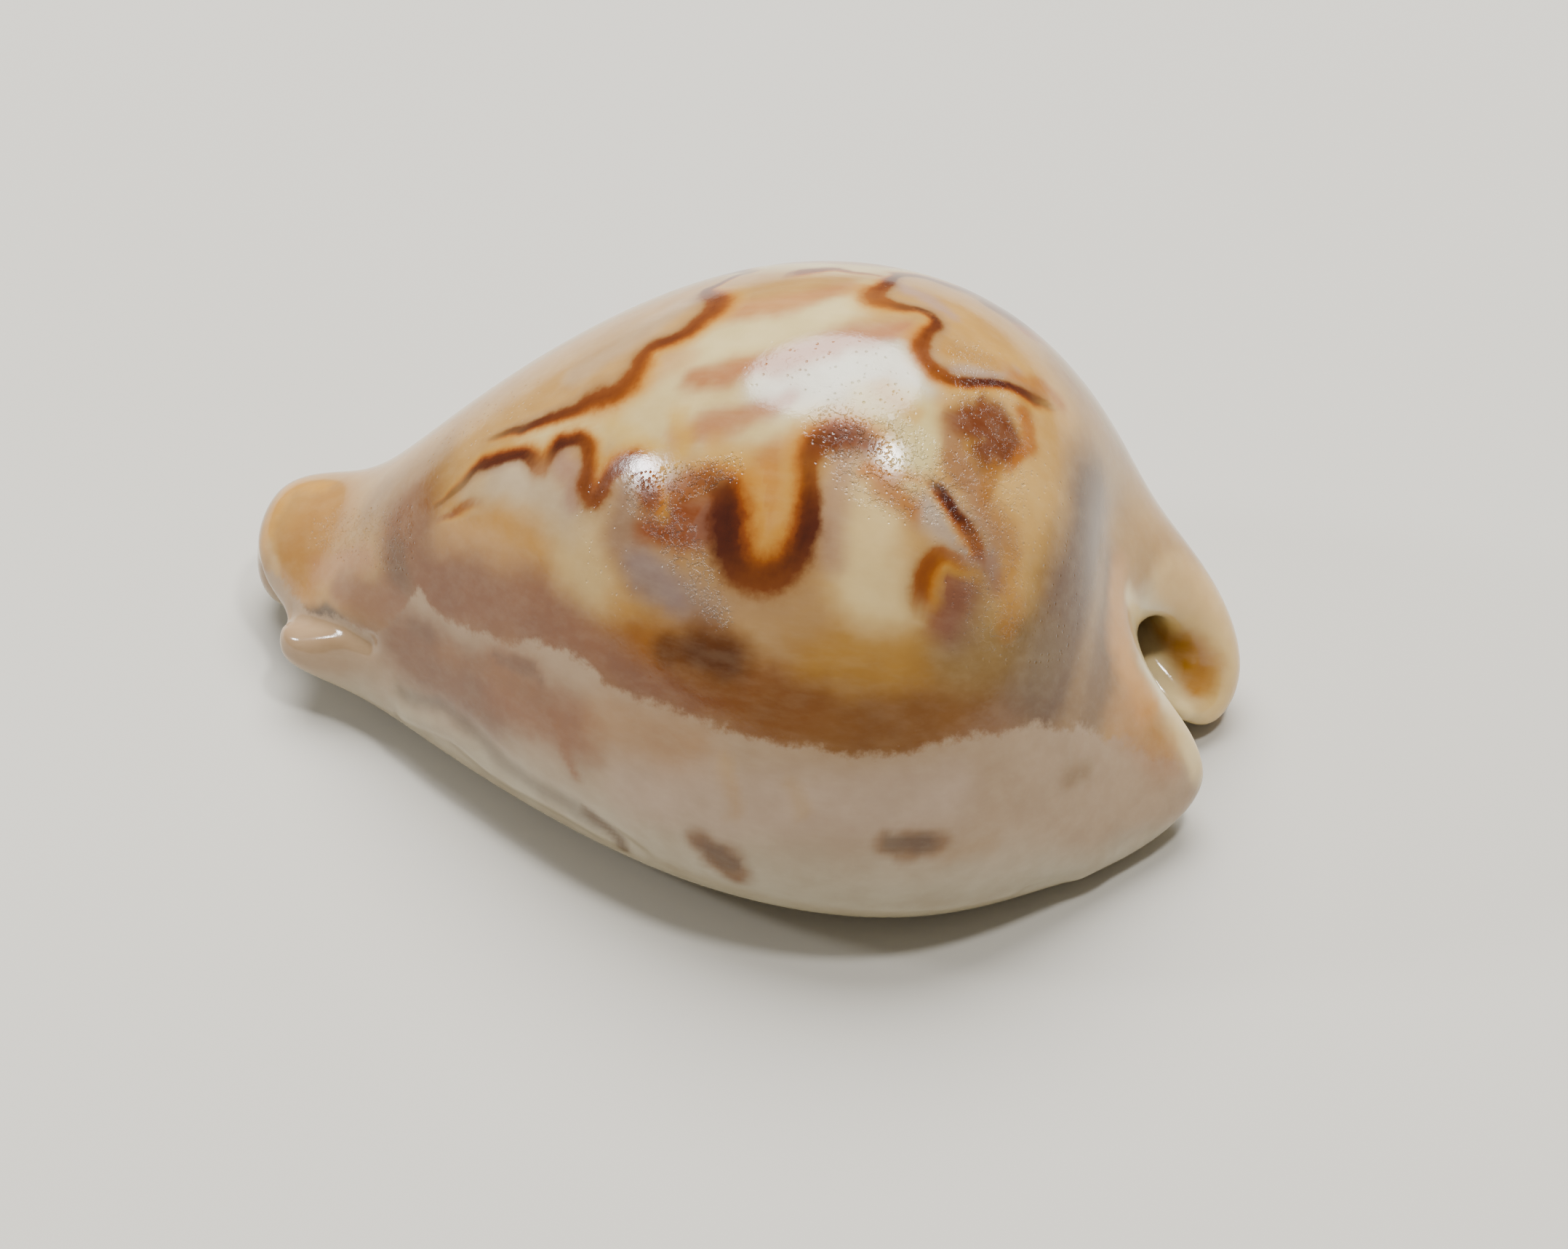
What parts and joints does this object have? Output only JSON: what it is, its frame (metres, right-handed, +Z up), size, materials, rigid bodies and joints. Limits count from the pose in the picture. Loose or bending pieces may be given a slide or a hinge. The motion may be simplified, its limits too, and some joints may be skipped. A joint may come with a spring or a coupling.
{
  "type": "cowry shell",
  "caption": "Pear-shaped, humped, glossy cowry shell with a toothed slit along its flat base, a narrow front canal and a wide rear canal.",
  "frame": {"origin": "middle of the bounding box in plan, on the plane that the shell rests on", "axes": "+X from the front canal to the rear canal along the shell, +Y towards the outer lip's side, +Z up out of the back"},
  "size_m": [0.0626, 0.0418, 0.0325],
  "materials": {
    "shell": "glossy"
  },
  "bodies": {
    "root": {"shell": "shell"}
  },
  "joints": []
}
